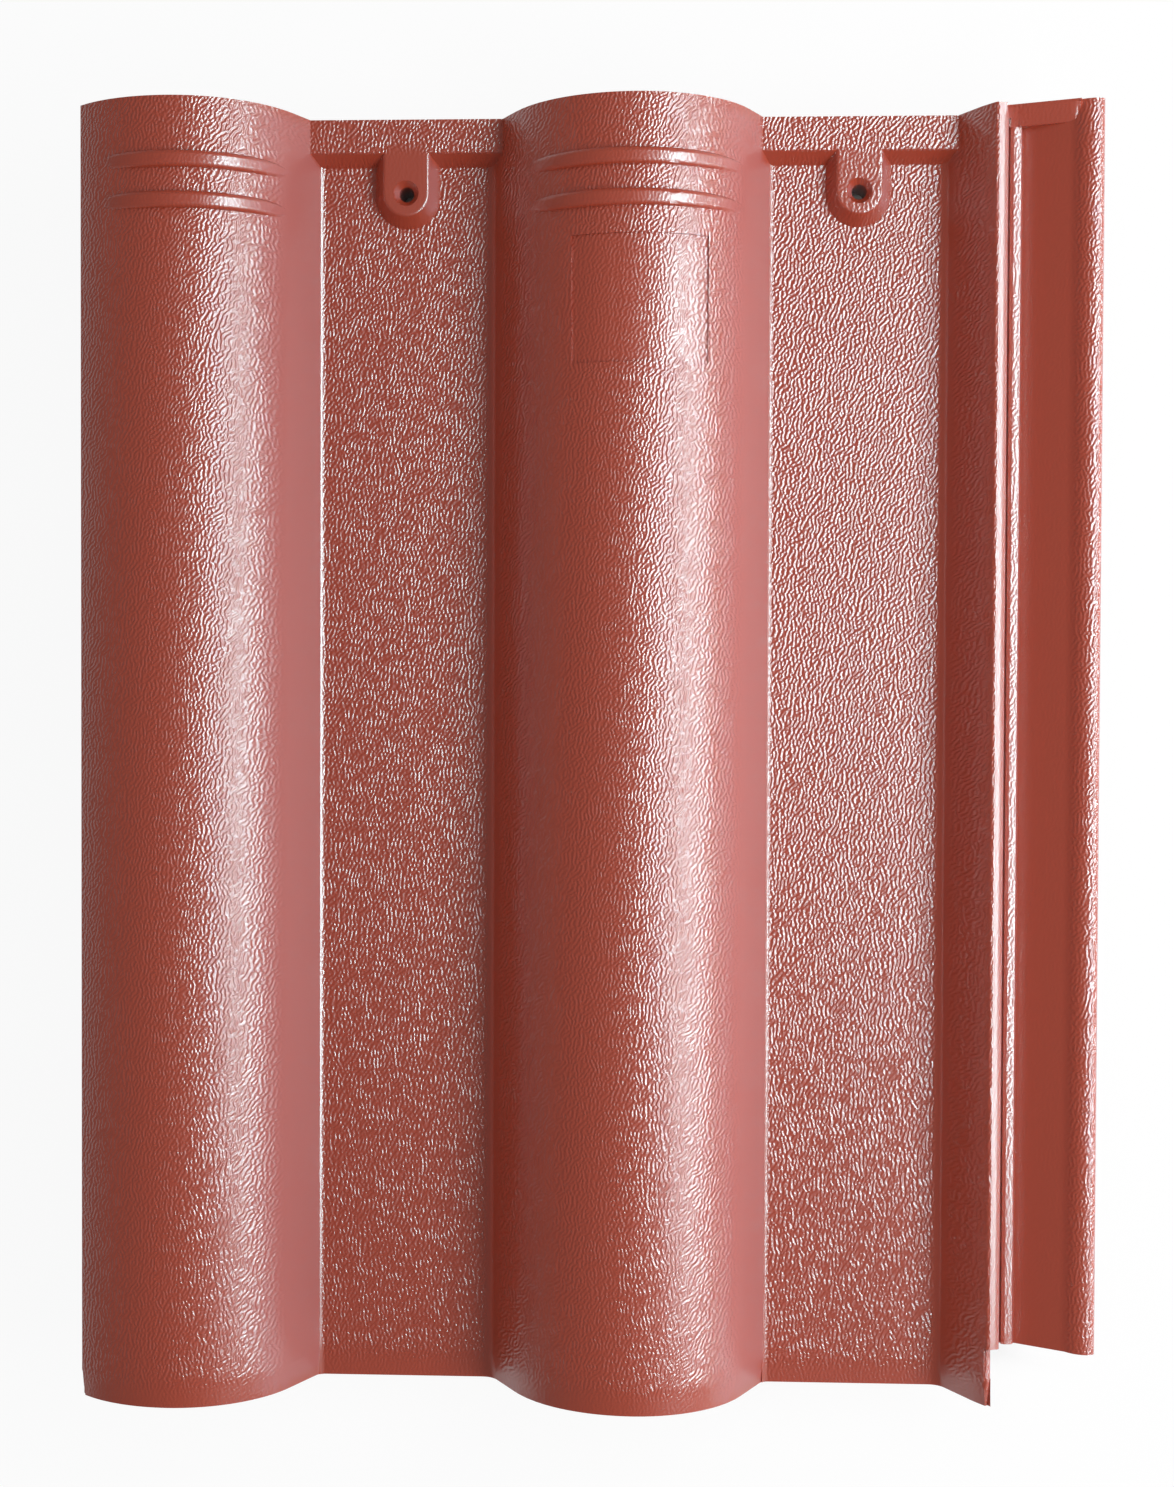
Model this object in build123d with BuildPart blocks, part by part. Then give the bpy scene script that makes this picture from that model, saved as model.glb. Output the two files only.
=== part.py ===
from build123d import *
from math import radians, sqrt, tan
import os

# A pressed concrete roof tile with two full rolls, a half roll and a side lock.
# Axes: X across the tile with the side lock at +X, Y up the roof slope with
# the nail holes at +Y, Z up. The origin is the middle of the underside level.
# All sizes are in mm.

# Overall sizes
tile_length = 424
roll_pitch = 150.8
roll_height = 38
pan_thickness = 11
roll_thickness = 10.5
foot_depth = 10

# Shape of a roll: two arcs that meet at the crest and run out into flat flanks
left_radius = 46.7
right_radius = 40.5
left_slope = 60
right_slope = 64
left_foot_fillet = 5
right_foot_fillet = 2
hollow_mouth_fillet = 1

# Where the first and the third roll are cut off, measured from their crests
left_cut = 31.3
right_cut = 33.8
overlap_rebate = 5.4
overlap_edge_height = 9.5
edge_rounding = 1.5

# Side lock, measured from the cut edge of the third roll
lock_width = 32.8
strip_drop = 10
cut_face_run = 3.3
strip_width = 0.8
inner_rib_width = 4.2
inner_rib_top = 2.4
inner_rib_height = 2
inner_rib_rounding = 0.6
channel_width = 15.3
outer_rib_height = 3.5
rib_wall_run = 2
lock_gap = 1.5
lock_thickness = 9.8
lock_rounding = 2
lock_tail_gap = 19
closing_bar_length = 6.5
closing_bar_height = 3.5
closing_bar_drop = 3
closing_bar_slope = 5.5

# Weather bar and nail bosses at the head of each pan
bar_height = 6
bar_length = 11
bar_slope = 3.7
bar_rounding = 1.2
boss_offset = 73
boss_from_head = 24.4
boss_width = 21.8
boss_taper = 30
nail_diameter = 5
sink_diameter = 8.5
sink_angle = 70

# Two beads over each full roll near the head
bead_width = 5.4
bead_height = 2.2
bead_reach = 35
short_bead_reach = 22
bead_root = 5
bead_rounding = 1.8
bead_from_head = 20.3
bead_spacing = 13

# Shallow plain panel on the middle roll
panel_width = 44
panel_offset = 1
panel_length = 41
panel_depth = 0.6
panel_from_head = 65

# Underside: a lip along the tail and one nib under each pan at the head
lip_length = 9
lip_clearance = 1
lip_inset = 2
tail_bevel_drop = 1
tail_bevel_run = 8.8
nib_width = 38
nib_length = 14
nib_from_head = 1
nib_rounding = 1.5

# Places that follow from the sizes
cut_to_cut = 2 * roll_pitch + left_cut - right_cut
tile_width = cut_to_cut + lock_width
left_edge = -tile_width / 2
right_edge = tile_width / 2
roll_cut = left_edge + cut_to_cut
crest_1 = left_edge + left_cut
crest_2 = crest_1 + roll_pitch
crest_3 = crest_2 + roll_pitch
head = tile_length / 2
tail = -tile_length / 2
pan_top = foot_depth + pan_thickness
left_centre = roll_height - left_radius
right_centre = roll_height - right_radius
left_cut_height = left_centre + sqrt(left_radius**2 - left_cut**2)
right_cut_height = left_centre + sqrt(left_radius**2 - right_cut**2)
strip_level = right_cut_height - strip_drop
rib_level = roll_height - roll_thickness - lock_gap
full_drop = pan_thickness + foot_depth


def across(y):
    """The plane across the tile at y, with the top of the pans at zero."""
    return Plane(origin=(0, y, pan_top), x_dir=(1, 0, 0), z_dir=(0, -1, 0))


def roll_shape(inset, bottom):
    """Closed outline of a roll about its crest, drawn in by inset."""
    with BuildSketch() as shape:
        with BuildLine():
            left_arc = CenterArc((0, left_centre), left_radius - inset, 90, left_slope)
            right_arc = CenterArc((0, right_centre), right_radius - inset, 90, -right_slope)
            left_end = left_arc @ 1
            right_end = right_arc @ 1
            left_run = (left_end.Y - bottom) / tan(radians(left_slope))
            right_run = (right_end.Y - bottom) / tan(radians(right_slope))
            Polyline(
                left_end,
                (left_end.X - left_run, bottom),
                (right_end.X + right_run, bottom),
                right_end,
            )
        make_face()
    return shape.sketch


def foot_place(slope, radius, centre, level, side):
    """Where the flank on that side of a crest comes down to the level."""
    with BuildLine():
        flank = CenterArc((0, centre), radius, 90, side * slope)
    end = flank @ 1
    return end.X - side * (end.Y - level) / tan(radians(slope))


def corner(sketch, x, z):
    """The corner of a sketch nearest a place."""
    return sketch.vertices().sort_by_distance((x, z))[0]


def on_top(body, place):
    """True where a place on the tail end lies on the upper surface."""
    below = place + Vector(0, 1, -1)
    above = place + Vector(0, 1, 1)
    return body.is_inside(below) and not body.is_inside(above)


below_left = left_radius + lip_clearance
below_right = right_radius + lip_clearance
left_foot = foot_place(left_slope, left_radius, left_centre, 0, 1)
right_foot = foot_place(right_slope, right_radius, right_centre, 0, -1)
left_mouth = foot_place(left_slope, below_left, left_centre, foot_depth, 1)
right_mouth = foot_place(right_slope, below_right, right_centre, foot_depth, -1)
crests = (crest_1, crest_2, crest_3)

roll = roll_shape(0, -pan_thickness)
hollow = roll_shape(roll_thickness, -pan_thickness)
lip_body = roll_shape(lip_inset, -pan_thickness)
roll_below = roll_shape(-lip_clearance, 0)
panel_floor = roll_shape(panel_depth, 0)
bead_floor = roll_shape(bead_root, 0)

with BuildSketch() as shell:
    with Locations(((left_edge + roll_cut) / 2, -pan_thickness / 2)):
        Rectangle(cut_to_cut, pan_thickness)
    with Locations(*[(crest, 0) for crest in crests]):
        add(roll)
    with Locations(((left_edge + roll_cut) / 2, 0)):
        Rectangle(cut_to_cut, 3 * roll_height, mode=Mode.INTERSECT)
    with Locations(*[(crest, 0) for crest in crests]):
        add(hollow, mode=Mode.SUBTRACT)
    with Locations(*[(crest, -full_drop) for crest in crests]):
        add(roll_below, mode=Mode.SUBTRACT)
    with Locations((left_edge, -pan_thickness)):
        Rectangle(
            overlap_rebate,
            left_cut_height - overlap_edge_height + pan_thickness,
            align=(Align.MIN, Align.MIN),
            mode=Mode.SUBTRACT,
        )

# The side lock runs on from the cut face of the third roll
groove = roll_cut + cut_face_run
rib_start = groove + strip_width
rib_end = rib_start + inner_rib_width
rib_lean = (inner_rib_width - inner_rib_top) / 2
channel_end = rib_end + channel_width
channel_high = rib_level - outer_rib_height
wall_top = channel_end + rib_wall_run
under_slope = (channel_high - strip_level) / channel_width
under_cut = strip_level - lock_thickness - under_slope * (rib_end - roll_cut)
under_edge = under_cut + under_slope * lock_width
flank_x = crest_3 + left_foot + roll_thickness / 2

with BuildSketch() as lock:
    with BuildLine():
        Polyline(
            (flank_x, 0),
            (roll_cut, right_cut_height),
            (groove, strip_level),
            (rib_start, strip_level),
            (rib_start + rib_lean, strip_level + inner_rib_height),
            (rib_end - rib_lean, strip_level + inner_rib_height),
            (rib_end, strip_level),
            (channel_end, channel_high),
            (wall_top, rib_level),
            (right_edge, rib_level),
            (right_edge, under_edge),
            (roll_cut, under_cut),
            (flank_x, 0),
        )
    make_face()
    rib_corners = lock.vertices().filter_by_position(Axis.Y, strip_level + 1, strip_level + 3)
    inner_corners = rib_corners.filter_by_position(Axis.X, rib_start, rib_end)
    fillet(inner_corners, inner_rib_rounding)
    outer_corner = lock.vertices().filter_by_position(Axis.X, right_edge - 1, right_edge + 1)
    fillet(outer_corner, lock_rounding)

# The rolls and pans with their corners rounded
with BuildSketch() as rolls:
    add(shell.sketch)
    for crest in crests[1:]:
        fillet(corner(rolls, crest + left_foot, 0), left_foot_fillet)
    for crest in crests[:2]:
        fillet(corner(rolls, crest + right_foot, 0), right_foot_fillet)
    for crest in crests[1:]:
        fillet(corner(rolls, crest + left_mouth, -pan_thickness), hollow_mouth_fillet)
    for crest in crests[:2]:
        fillet(corner(rolls, crest + right_mouth, -pan_thickness), hollow_mouth_fillet)
    fillet(corner(rolls, left_edge, left_cut_height), edge_rounding)
    fillet(corner(rolls, roll_cut, right_cut_height), edge_rounding)

# The side lock with the last of the third roll that it grows from
with BuildSketch() as side_lock:
    add(shell.sketch)
    add(lock.sketch)
    fillet(corner(side_lock, roll_cut, right_cut_height), edge_rounding)
    with Locations((flank_x, 0)):
        Rectangle(
            right_edge - flank_x,
            3 * roll_height,
            align=(Align.MIN, Align.CENTER),
            mode=Mode.INTERSECT,
        )

# Thickening under the tail end, shaped to sit over the tile below it
with BuildSketch() as tail_lip:
    with Locations(((left_edge + roll_cut) / 2, -lip_inset)):
        Rectangle(cut_to_cut, full_drop - lip_inset, align=(Align.CENTER, Align.MAX))
    with Locations(*[(crest, 0) for crest in crests]):
        add(lip_body)
    with Locations(*[(crest, -full_drop) for crest in crests]):
        add(roll_below, mode=Mode.SUBTRACT)
    with Locations(((left_edge + roll_cut) / 2, 0)):
        Rectangle(cut_to_cut, 3 * roll_height, mode=Mode.INTERSECT)

# Crescents that stand on a roll and run out to nothing at both ends
bead_right = right_centre + sqrt(right_radius**2 - bead_reach**2)


def bead_shape(left_reach):
    """A bead about a crest that starts left_reach before it."""
    bead_left = left_centre + sqrt(left_radius**2 - left_reach**2)
    with BuildPart() as shape:
        with BuildSketch(across(0)):
            with BuildLine():
                bead_line = ThreePointArc(
                    (-left_reach, bead_left),
                    (0, roll_height + bead_height),
                    (bead_reach, bead_right),
                )
                Line(bead_line @ 1, bead_line @ 0)
            make_face()
            add(bead_floor, mode=Mode.SUBTRACT)
        extrude(amount=bead_width / 2, both=True)
        bead_top = shape.faces().filter_by(GeomType.CYLINDER).sort_by(Axis.Z)[-1]
        fillet(bead_top.edges().filter_by(GeomType.CIRCLE), bead_rounding)
    return shape.part


bead = bead_shape(bead_reach)
short_bead = bead_shape(short_bead_reach)

# Thin sheet of the roll that the panel takes away
with BuildPart() as panel:
    with BuildSketch(across(0)):
        with Locations((panel_offset, roll_height)):
            Rectangle(panel_width, roll_height)
        add(panel_floor, mode=Mode.SUBTRACT)
    extrude(amount=panel_length / 2, both=True)

# Low bar across the side lock that slopes down to the channel
with BuildPart() as closing_bar:
    with BuildSketch(across(head)):
        with BuildLine():
            Polyline(
                (roll_cut, strip_level),
                (roll_cut, strip_level + closing_bar_height),
                (wall_top, rib_level),
                (channel_end, channel_high),
                (rib_end, strip_level),
                (roll_cut, strip_level),
            )
        make_face()
    extrude(amount=closing_bar_length)
    bar_face = closing_bar.faces().sort_by(Axis.Y)[0]
    bar_crown = bar_face.edges().sort_by(SortBy.LENGTH)[-1]
    chamfer(bar_crown, closing_bar_drop, closing_bar_slope, reference=bar_face)

# Weather bar about a crest, with the nail boss grown out of it
bar_start = right_foot - bar_height
bar_span = roll_pitch + left_foot - right_foot + 2 * bar_height
bar_level = pan_top + bar_height
with BuildPart() as weather_bar:
    with BuildSketch(Plane.YZ.offset(bar_start)):
        with BuildLine():
            Polyline(
                (head, pan_top),
                (head, bar_level),
                (head - bar_length, bar_level),
                (head - bar_length - bar_slope, pan_top),
                (head, pan_top),
            )
        make_face()
    extrude(amount=bar_span)
    with BuildSketch(Plane.XY.offset(pan_top)):
        with Locations((boss_offset, head - boss_from_head)):
            Circle(boss_width / 2)
            Rectangle(boss_width, boss_from_head - bar_slope, align=(Align.CENTER, Align.MIN))
    extrude(amount=bar_height, taper=boss_taper)
    crown = weather_bar.faces().sort_by(Axis.Z)[-1].edges()
    front = crown.filter_by_position(Axis.X, bar_start + 1, bar_start + bar_span - 1)
    fillet(front.filter_by_position(Axis.Y, 0, head - 1), bar_rounding)

with BuildPart() as nib:
    Box(nib_width, nib_length, foot_depth, align=(Align.CENTER, Align.MAX, Align.MIN))
    fillet(nib.edges().filter_by(Axis.Z), nib_rounding)
    fillet(nib.faces().sort_by(Axis.Z)[0].edges(), nib_rounding)

with BuildPart() as roof_tile:
    with BuildSketch(across(0)):
        add(rolls.sketch)
    extrude(amount=tile_length / 2, both=True)

    # Gentle slope down to the tail edge
    tail_face = roof_tile.faces().sort_by(Axis.Y)[0]
    body = roof_tile.part.solid()
    crown = [edge for edge in tail_face.edges() if on_top(body, edge @ 0.5)]
    chamfer(crown, tail_bevel_drop, tail_bevel_run, reference=tail_face)

    # The side lock stops short of the tail
    with BuildSketch(across(head)):
        add(side_lock.sketch)
    extrude(amount=tile_length - lock_tail_gap)

    # Lip along the tail
    with BuildSketch(across(tail)):
        add(tail_lip.sketch)
    extrude(amount=-lip_length)

    # Bar that closes the side lock at the head
    add(closing_bar.part)

    # Raised weather bar with its nail boss across each pan at the head
    with Locations((crest_1, 0, 0), (crest_2, 0, 0)):
        add(weather_bar.part)

    # Countersunk nail holes
    with Locations(
        *[(crest + boss_offset, head - boss_from_head, pan_top + bar_height) for crest in crests[:2]]
    ):
        CounterSinkHole(
            radius=nail_diameter / 2,
            counter_sink_radius=sink_diameter / 2,
            depth=pan_thickness + bar_height,
            counter_sink_angle=sink_angle,
        )

    # Beads over the full rolls, shorter on the first
    for crest, crescent in ((crest_1, short_bead), (crest_2, bead)):
        for step in (0, bead_spacing):
            with Locations((crest, head - bead_from_head - step, 0)):
                add(crescent)

    # Plain panel let into the middle roll
    with Locations((crest_2, head - panel_from_head, 0)):
        add(panel.part, mode=Mode.SUBTRACT)

    # Nibs that hang on the batten
    with Locations(*[(crest + boss_offset, head - nib_from_head, 0) for crest in crests[:2]]):
        add(nib.part)

roof_tile.part.label = "roof_tile"
os.makedirs("parts", exist_ok=True)
export_step(roof_tile.part, "parts/roof_tile.step")
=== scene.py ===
import bpy
import math
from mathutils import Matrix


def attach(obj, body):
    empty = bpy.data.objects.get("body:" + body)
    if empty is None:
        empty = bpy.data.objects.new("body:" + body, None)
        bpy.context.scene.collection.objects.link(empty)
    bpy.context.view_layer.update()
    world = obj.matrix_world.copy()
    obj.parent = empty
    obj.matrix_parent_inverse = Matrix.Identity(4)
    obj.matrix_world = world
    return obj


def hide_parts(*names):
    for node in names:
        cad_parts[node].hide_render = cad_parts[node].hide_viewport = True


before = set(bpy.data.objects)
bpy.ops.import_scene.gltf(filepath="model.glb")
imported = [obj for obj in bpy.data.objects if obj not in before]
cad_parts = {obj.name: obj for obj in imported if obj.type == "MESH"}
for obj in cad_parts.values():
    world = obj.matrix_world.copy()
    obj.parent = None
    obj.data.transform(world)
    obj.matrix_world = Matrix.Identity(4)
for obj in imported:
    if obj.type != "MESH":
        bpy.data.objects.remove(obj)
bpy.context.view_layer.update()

# Tile body
# The tile is one piece of concrete, pressed while wet between a mould and a
# profile plate, so it has no joints and its pressed faces carry a fine grain.
# It starts as the solid itself, cleaned, then divided finely enough to hold marks.

HEAD = 0.212
CREST_Z = 0.059
CREST_1 = -0.13465
CREST_2 = 0.01615
CREST_3 = 0.16695
LEFT_RADIUS = 0.0467
RIGHT_RADIUS = 0.0405
LEFT_SLOPE = 60
RIGHT_SLOPE = 64
PAN_Z = 0.021
FOOT = 0.04384
CUT_X = 0.13315
TAIL_DROP = 0.001
TAIL_RUN = 0.0088

# The upper face across the tile where the finished edges differ from the plain
# solid's: each a pair of lines, the solid's and the finished one, left to right.
CREASE_BEFORE = ((FOOT - 0.0006, 0.02223), (FOOT, PAN_Z), (FOOT + 0.0014, PAN_Z))
CREASE_AFTER = ((FOOT - 0.0006, 0.02223), (FOOT - 0.0003, 0.02162), (FOOT + 0.0002, 0.02133),
                (FOOT + 0.0007, 0.02112), (FOOT + 0.0012, 0.02100), (FOOT + 0.0014, PAN_Z))
LIP_BEFORE = ((0.13143, 0.04271), (0.13200, 0.04309), (0.13251, 0.04318), (0.13300, 0.04310),
              (0.13350, 0.04281), (0.13394, 0.04215), (0.13645, 0.03452))
LIP_AFTER = ((0.13143, 0.04271), (0.13200, 0.04309), (0.13251, 0.04318), (0.13290, 0.04314),
             (0.13315, 0.04304), (0.13520, 0.04233), (0.13562, 0.04196), (0.13585, 0.04105),
             (0.13645, 0.03452))
RIB_BEFORE = ((0.13725, 0.03452), (0.13815, 0.03652), (0.14055, 0.03652), (0.14145, 0.03452))
RIB_AFTER = ((0.13725, 0.03600), (0.13790, 0.03637), (0.13830, 0.03650), (0.13950, 0.03641),
             (0.14070, 0.03623), (0.14110, 0.03560), (0.14145, 0.03452))
CROWN_BEFORE = ((0.15675, 0.04350), (0.15875, 0.04700), (0.16395, 0.04700), (0.16536, 0.04641),
                (0.16595, 0.04500))
CROWN_AFTER = ((0.15675, 0.04350), (0.15780, 0.04470), (0.15900, 0.04565), (0.16040, 0.04640),
               (0.16190, 0.04685), (0.16320, 0.04700), (0.16450, 0.04682), (0.16540, 0.04630),
               (0.16595, 0.04500))
EDGES = [[[(x + crest, z) for x, z in line] for line in (CREASE_BEFORE, CREASE_AFTER)]
         for crest in (CREST_1, CREST_2)]
EDGES += [(LIP_BEFORE, LIP_AFTER), (RIB_BEFORE, RIB_AFTER), (CROWN_BEFORE, CROWN_AFTER)]
EDGE_REACH = 0.0007
ROUND_REACH = 0.00015
CELL_ACROSS = 0.003
CELL_ALONG = 0.004
WELD = 0.00002


def height_at(line, x):
    """Height at x of a line of points, straight from one point to the next."""
    for (x0, z0), (x1, z1) in zip(line, line[1:]):
        if x0 <= x <= x1:
            return z0 + (z1 - z0) * (x - x0) / (x1 - x0)
    return None


bpy.ops.object.select_all(action="DESELECT")
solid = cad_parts["roof_tile"]
tile = bpy.data.objects.new("tile_body", solid.data.copy())
bpy.context.scene.collection.objects.link(tile)
bpy.context.view_layer.objects.active = tile
tile.select_set(True)
bpy.ops.mesh.customdata_custom_splitnormals_clear()

bpy.ops.object.mode_set(mode="EDIT")
bpy.ops.mesh.select_all(action="SELECT")
bpy.ops.mesh.remove_doubles(threshold=WELD)
bpy.ops.mesh.dissolve_limited(angle_limit=math.radians(0.05))
across = [-0.1659 + CELL_ACROSS * i for i in range(1, 110)]
across += [x for before, after in EDGES for x, z in after[:-1]]
along = [-0.2119 + CELL_ALONG * i for i in range(1, 106)]
for places, normal in ((across, (1, 0, 0)), (along, (0, 1, 0))):
    for place in places:
        bpy.ops.mesh.select_all(action="SELECT")
        bpy.ops.mesh.bisect(plane_co=[place * n for n in normal], plane_no=normal, threshold=WELD)
bpy.ops.mesh.select_all(action="DESELECT")
bpy.ops.object.mode_set(mode="OBJECT")

# The divided roll faces are eased from flat strips onto the true round of the mould,
# and the soft edges are laid on their finished lines.
for vertex in tile.data.vertices:
    x, y, z = vertex.co
    drop = TAIL_DROP * max(0.0, (-HEAD + TAIL_RUN - y) / TAIL_RUN)
    for crest in (CREST_1, CREST_2, CREST_3):
        side = x - crest
        radius = LEFT_RADIUS if side < 0 else RIGHT_RADIUS
        centre = CREST_Z - radius
        reach = math.hypot(side, z - centre)
        steep = math.sin(math.radians(LEFT_SLOPE if side < 0 else RIGHT_SLOPE))
        if z > centre and abs(side) < radius * steep and abs(reach - radius + drop) < ROUND_REACH:
            grow = (radius - drop) / reach
            vertex.co.x = crest + side * grow
            vertex.co.z = centre + (z - centre) * grow
    for before, after in EDGES:
        if before[0][0] <= x <= before[-1][0] and abs(z + drop - height_at(before, x)) < EDGE_REACH:
            vertex.co.z = height_at(after, x) - drop
bpy.ops.object.shade_smooth_by_angle(angle=math.radians(24))

# Marks by place: how deep the grain is, where it lies on a roll, where the film is duller and its colour
# is painted a lighter pink as a painted sheen on faces turned towards the lamps, which faces the mould
# pressed and which ones the paint never reached.
BAR_LENGTH = 0.011
BAR_FRONT = HEAD - BAR_LENGTH
BOSS_REACH = 0.031
BOSS_BACK = 0.170
BOSS_TOP_Z = PAN_Z + 0.0055
BOSS_GRAIN = (0.1, 0.45)
BOSS_HALF = 0.0112
HOLES_X = (-0.06165, 0.08915)
BEAD_REACH = 0.036
BEAD_GRAIN = 0.25
PANEL_GRAIN = 0.7
RIGHT_FADE = (0.031, 0.036)
RIGHT_RETURN = (FOOT + 0.0001, FOOT + 0.0011)
LEFT_FADE = (-0.0510, -0.0495)
LEFT_RETURN = (-0.0460, -0.0440)
PANEL = (CREST_2 - 0.021, CREST_2 + 0.023, 0.1265, 0.1675)


def ramp(value, low, high):
    """0 below low, 1 above high, with a soft change between them."""
    t = min(max((value - low) / (high - low), 0.0), 1.0)
    return t * t * (3.0 - 2.0 * t)


def height_over_roll(x, z):
    """How far a place stands off the round of the nearest roll."""
    side = min((x - CREST_1, x - CREST_2, x - CREST_3), key=abs)
    radius = LEFT_RADIUS if side < 0 else RIGHT_RADIUS
    return math.hypot(side, z - CREST_Z + radius) - radius


mesh = tile.data
grain = mesh.attributes.new("grain", "FLOAT", "POINT")
on_roll = mesh.attributes.new("on_roll", "FLOAT", "POINT")
bare = mesh.attributes.new("bare", "FLOAT", "FACE")
moulded = mesh.attributes.new("moulded", "FLOAT", "FACE")
film_and_sheen = mesh.attributes.new("film_and_sheen", "FLOAT", "POINT")
for i, vertex in enumerate(mesh.vertices):
    x, y, z = vertex.co
    d1, d2, d3 = x - CREST_1, x - CREST_2, x - CREST_3
    keep = 1.0
    if y < BAR_FRONT:
        for side in (d1, d2):
            keep *= 1.0 - ramp(side, *RIGHT_FADE) * (1.0 - ramp(side, *RIGHT_RETURN))
        for side in (d2, d3):
            keep *= 1.0 - ramp(side, *LEFT_FADE) * (1.0 - ramp(side, *LEFT_RETURN))
    for hole, top in zip(HOLES_X, BOSS_GRAIN):
        if abs(x - hole) < BOSS_REACH and y > BOSS_BACK and z > PAN_Z + 0.0004:
            if y < BAR_FRONT - 0.0004 and abs(x - hole) < BOSS_HALF:
                keep *= top
            elif z < BOSS_TOP_Z:
                keep *= 0.1
    if PANEL[0] < x < PANEL[1] and PANEL[2] < y < PANEL[3]:
        keep *= PANEL_GRAIN
    if min(abs(d1), abs(d2)) < BEAD_REACH and y > BOSS_BACK and height_over_roll(x, z) > 0.0003:
        keep *= BEAD_GRAIN
    if x > CUT_X - 0.0005:
        keep *= 0.1 if x < 0.137 else 0.45 if x < 0.1416 else 0.15 if x < 0.1575 else 0.9
    keep *= 0.25 + 0.75 * ramp(y, -HEAD + 0.003, -HEAD + 0.011)
    grain.data[i].value = keep
    on_roll.data[i].value = max(1.0 - ramp(abs(side), 0.041, 0.047) for side in (d1, d2, d3))
    # Faces turned towards the right-hand lamps: a duller film, and a painted sheen in their colour.
    film_and_sheen.data[i].value = ramp(vertex.normal.x, 0.58, 0.8) if z > PAN_Z else 0.0
for i, face in enumerate(mesh.polygons):
    bare.data[i].value = ramp(-face.normal.z, 0.2, 0.35)
    moulded.data[i].value = ramp(face.normal.z, 0.1, 0.25)

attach(tile, "root")
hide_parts("roof_tile")

# Gloss acrylic tile paint, sprayed on the damp concrete and cured: a red-brown
# skin that takes a wet-looking shine and follows every grain of the pressed face.


def linear(code):
    """Turn an sRGB hex colour into the linear one that shaders read."""
    parts = [int(code[i:i + 2], 16) / 255.0 for i in (1, 3, 5)]
    return [p / 12.92 if p <= 0.04045 else ((p + 0.055) / 1.055) ** 2.4 for p in parts] + [1.0]


def add(tree, kind, settings=None, links=None):
    """Add a shader node, set its properties, then fill or join its sockets."""
    made = tree.nodes.new("ShaderNode" + kind)
    for name, value in (settings or {}).items():
        setattr(made, name, value)
    for name, value in (links or {}).items():
        if isinstance(value, bpy.types.NodeSocket):
            tree.links.new(value, made.inputs[name])
        else:
            made.inputs[name].default_value = value
    return made


GRAIN_SPACING = 0.00145
GRAIN_DEPTH = 0.00028
GRAIN_LEAN = 20.0
WANDER_SPACING = 0.009
WANDER = 0.0012

paint = bpy.data.materials.new("gloss_red_brown_tile_paint")
paint.use_nodes = True
tree = paint.node_tree
tree.nodes.clear()
place = add(tree, "TexCoord").outputs["Object"]
grain_mask = add(tree, "Attribute", {"attribute_name": "grain"}).outputs["Fac"]
roll_mask = add(tree, "Attribute", {"attribute_name": "on_roll"}).outputs["Fac"]
bare_mask = add(tree, "Attribute", {"attribute_name": "bare"}).outputs["Fac"]
moulded_mask = add(tree, "Attribute", {"attribute_name": "moulded"}).outputs["Fac"]
film_and_sheen_mask = add(tree, "Attribute", {"attribute_name": "film_and_sheen"}).outputs["Fac"]

# Short ridges, all of about one height: a wave with its swell evened out, pushed
# about a little so that the ridges wander.
warp = add(tree, "TexNoise", None, {"Vector": place, "Scale": 1 / WANDER_SPACING, "Detail": 1.0})
swing = add(tree, "VectorMath", {"operation": "SUBTRACT"}, {0: warp.outputs["Color"], 1: (0.5, 0.5, 0.5)})
shift = add(tree, "VectorMath", {"operation": "MULTIPLY_ADD"},
            {0: swing.outputs[0], 1: (WANDER, WANDER, 0.0), 2: place})
pace = add(tree, "MapRange", None, {"Value": roll_mask, "To Min": 1.5, "To Max": 1.62})
ridges = add(tree, "TexGabor", {"gabor_type": "2D"},
             {"Vector": shift.outputs[0], "Scale": 1 / (1.5 * GRAIN_SPACING), "Frequency": pace.outputs[0],
              "Anisotropy": 0.55, "Orientation": math.radians(-GRAIN_LEAN)})
wave = add(tree, "Math", {"operation": "SUBTRACT"}, {0: ridges.outputs["Value"], 1: 0.5})
swell = add(tree, "Math", {"operation": "ADD"}, {0: ridges.outputs["Intensity"], 1: 0.12})
even = add(tree, "Math", {"operation": "DIVIDE"}, {0: wave.outputs[0], 1: swell.outputs[0]})
share = add(tree, "MapRange", None, {"Value": roll_mask, "To Min": 1.0, "To Max": 0.75})
pressed = add(tree, "Math", {"operation": "MULTIPLY"}, {0: even.outputs[0], 1: share.outputs[0]})
kept = add(tree, "Math", {"operation": "MULTIPLY"}, {0: grain_mask, 1: moulded_mask})
depth = add(tree, "Math", {"operation": "MULTIPLY"}, {0: pressed.outputs[0], 1: kept.outputs[0]})
relief = add(tree, "Bump", None, {"Height": depth.outputs[0], "Strength": 1.0, "Distance": GRAIN_DEPTH})

# Faces turned towards the lamps get a duller film, and their colour is painted a lighter pink: a painted
# sheen standing in for the haze the lamps throw on the steep flanks.
film = add(tree, "MapRange", None, {"Value": film_and_sheen_mask, "To Min": 0.42, "To Max": 0.7})
sheen_painted_colour = add(tree, "Mix", {"data_type": "RGBA"},
           {0: film_and_sheen_mask, 6: linear("#a63b1e"), 7: linear("#aa5048")})
coat = add(tree, "BsdfPrincipled", None,
           {"Base Color": sheen_painted_colour.outputs[2], "Roughness": film.outputs[0], "IOR": 1.55, "Coat Weight": 1.0,
            "Coat Roughness": 0.26, "Coat IOR": 1.55, "Normal": relief.outputs[0],
            "Coat Normal": relief.outputs[0]})
raw = add(tree, "BsdfPrincipled", None,
          {"Base Color": linear("#8d8880"), "Roughness": 0.9, "IOR": 1.5})
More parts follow.
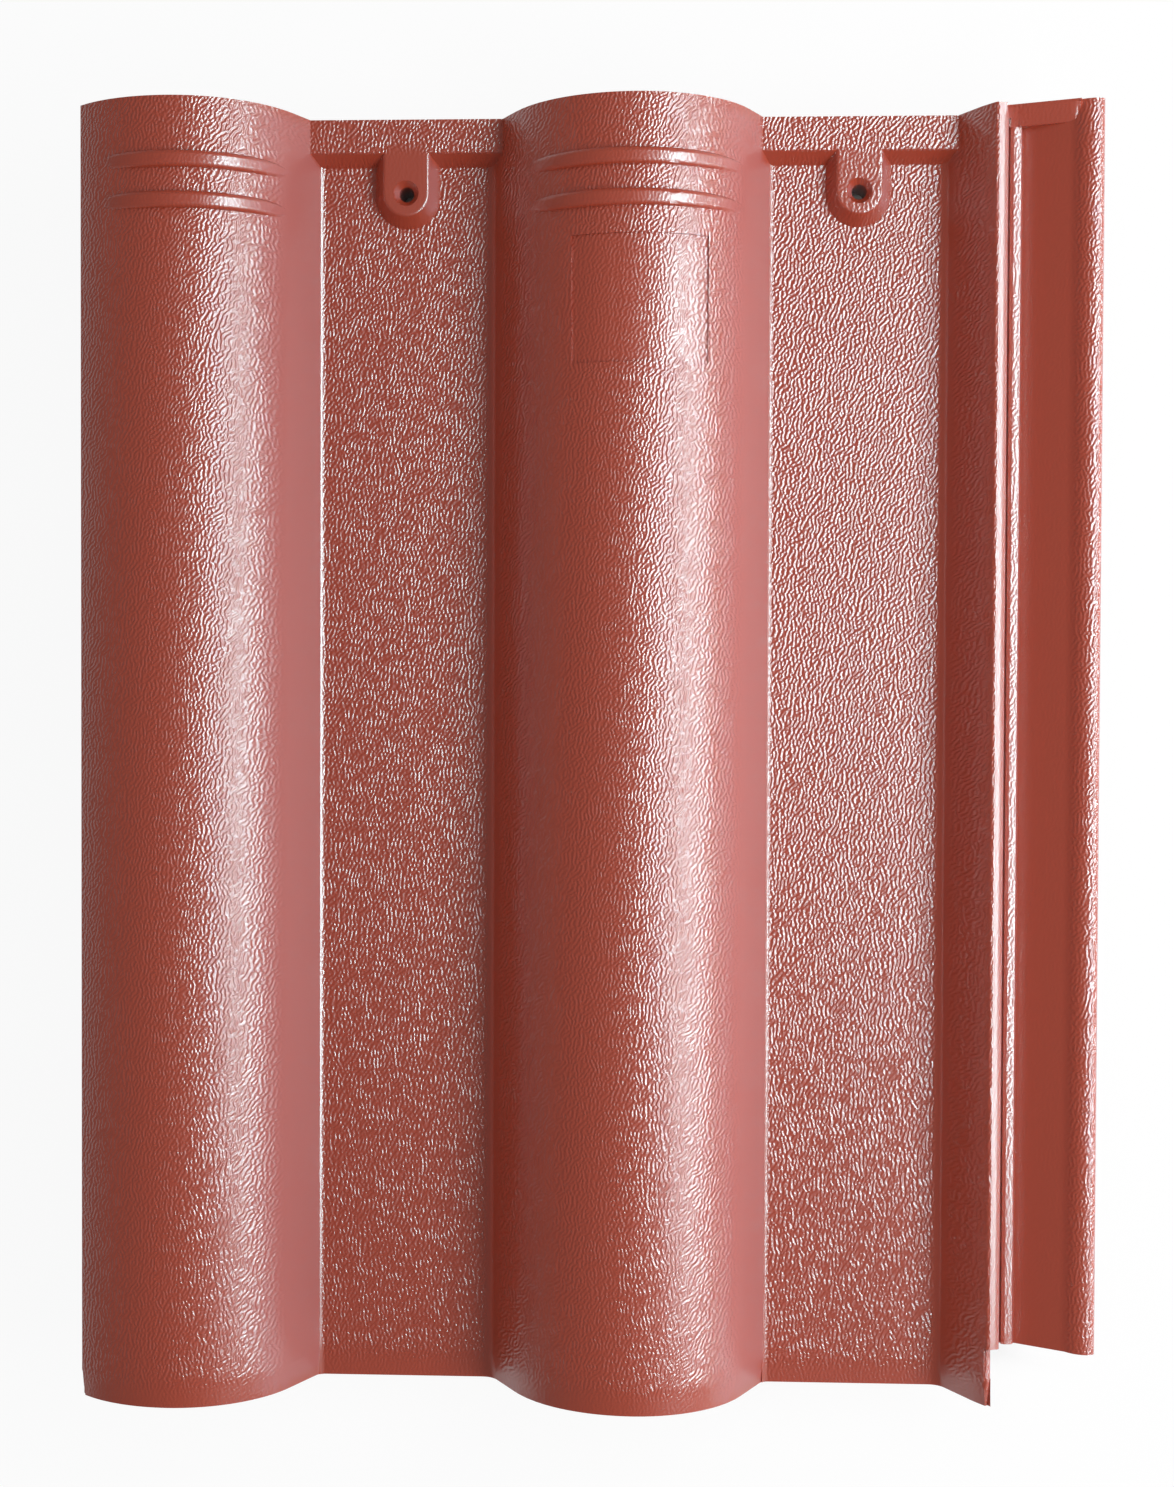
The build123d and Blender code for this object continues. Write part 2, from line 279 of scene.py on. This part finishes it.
both = add(tree, "MixShader", None, {0: bare_mask, 1: coat.outputs[0], 2: raw.outputs[0]})
add(tree, "OutputMaterial", None, {"Surface": both.outputs[0]})

mesh.materials.clear()
mesh.materials.append(paint)

# Floor, light and camera
# A white table top in a bright white room, with a soft lamp held above the
# right-hand side, a weaker window beyond it, and the camera looking down.

bpy.ops.object.select_all(action="DESELECT")
bpy.ops.mesh.primitive_plane_add(size=6.0, location=(0, 0, 0))
floor = bpy.context.active_object
floor.name = "floor"
table_top = bpy.data.materials.new("matt_white_table_top")
table_top.use_nodes = True
tree = table_top.node_tree
tree.nodes.clear()
GLOW = 0.92
TILE_SIDE = {"From Min": 0.10, "From Max": 0.17}
TILE_END = {"From Min": 0.192, "From Max": 0.216}
face = add(tree, "BsdfDiffuse", None, {"Color": (0.8, 0.8, 0.8, 1.0)})
glow = add(tree, "Emission", None, {"Color": (1.0, 1.0, 1.0, 1.0), "Strength": 1.0})
path = add(tree, "LightPath")
spot = add(tree, "TexCoord").outputs["Object"]
off_middle = add(tree, "SeparateXYZ", None,
                 {0: add(tree, "VectorMath", {"operation": "ABSOLUTE"}, {0: spot}).outputs[0]})
past_side = add(tree, "MapRange", {"interpolation_type": "SMOOTHSTEP"},
                {"Value": off_middle.outputs["X"], **TILE_SIDE})
past_end = add(tree, "MapRange", {"interpolation_type": "SMOOTHSTEP"},
               {"Value": off_middle.outputs["Y"], **TILE_END})
in_open = add(tree, "Math", {"operation": "MAXIMUM"}, {0: past_side.outputs[0], 1: past_end.outputs[0]})
lit = add(tree, "Math", {"operation": "MULTIPLY"}, {0: in_open.outputs[0], 1: GLOW})
share = add(tree, "Math", {"operation": "MULTIPLY"}, {0: path.outputs["Is Camera Ray"], 1: lit.outputs[0]})
board = add(tree, "MixShader", None, {0: share.outputs[0], 1: face.outputs[0], 2: glow.outputs[0]})
add(tree, "OutputMaterial", None, {"Surface": board.outputs[0]})
floor.data.materials.append(table_top)

world = bpy.data.worlds.new("white_room")
bpy.context.scene.world = world
world.use_nodes = True
tree = world.node_tree
tree.nodes.clear()
path = add(tree, "LightPath")
fill = add(tree, "Background", None, {"Color": (0.95, 0.97, 1.0, 1), "Strength": 0.46})
mirrored = add(tree, "Background", None, {"Color": (1, 1, 1, 1), "Strength": 0.15})
seen = add(tree, "Background", None, {"Color": (1, 1, 1, 1), "Strength": 1.0})
room = add(tree, "MixShader", None,
           {0: path.outputs["Is Glossy Ray"], 1: fill.outputs[0], 2: mirrored.outputs[0]})
mixed = add(tree, "MixShader", None,
            {0: path.outputs["Is Camera Ray"], 1: room.outputs[0], 2: seen.outputs[0]})
add(tree, "OutputWorld", None, {"Surface": mixed.outputs[0]})

# Each lamp: its place, size, colour and radiance, and which kind of ray misses it.
# The lamp and the window are pairs, because the paint's shine is set by itself.
LAMPS = {
    "soft_lamp": ((0.482, 0.060, 0.548), (0.28, 0.85), (1.0, 1.0, 1.0), 6.0, "visible_glossy"),
    "shine_lamp": ((0.482, 0.060, 0.548), (0.28, 0.85), (0.65, 0.94, 1.0), 19.0, "visible_diffuse"),
    "side_window": ((1.10, 0.0, 0.25), (0.5, 1.4), (1.0, 1.0, 1.0), 2.6, "visible_glossy"),
    "window_shine": ((1.10, 0.0, 0.25), (0.5, 1.4), (0.65, 0.94, 1.0), 3.2, "visible_diffuse"),
}
for name, (spot, size, colour, radiance, blind) in LAMPS.items():
    data = bpy.data.lights.new(name, "AREA")
    data.shape = "RECTANGLE"
    data.size, data.size_y = size
    data.color = colour
    data.energy = radiance * math.pi * size[0] * size[1]
    data.cycles.use_multiple_importance_sampling = False
    lamp = bpy.data.objects.new(name, data)
    bpy.context.scene.collection.objects.link(lamp)
    lamp.location = spot
    lamp.rotation_euler = (0.0, math.atan2(spot[0], spot[2]), 0.0)
    setattr(lamp, blind, False)

camera_data = bpy.data.cameras.new("overhead_camera")
camera_data.lens = 52.11
camera = bpy.data.objects.new("overhead_camera", camera_data)
bpy.context.scene.collection.objects.link(camera)
camera.location = (0.03088, 0.02007, 0.74625)
camera.rotation_mode = "ZYX"
camera.rotation_euler = (math.radians(-1.274), math.radians(2.492), math.radians(0.277))
bpy.context.scene.camera = camera
bpy.context.scene.view_settings.view_transform = "Standard"
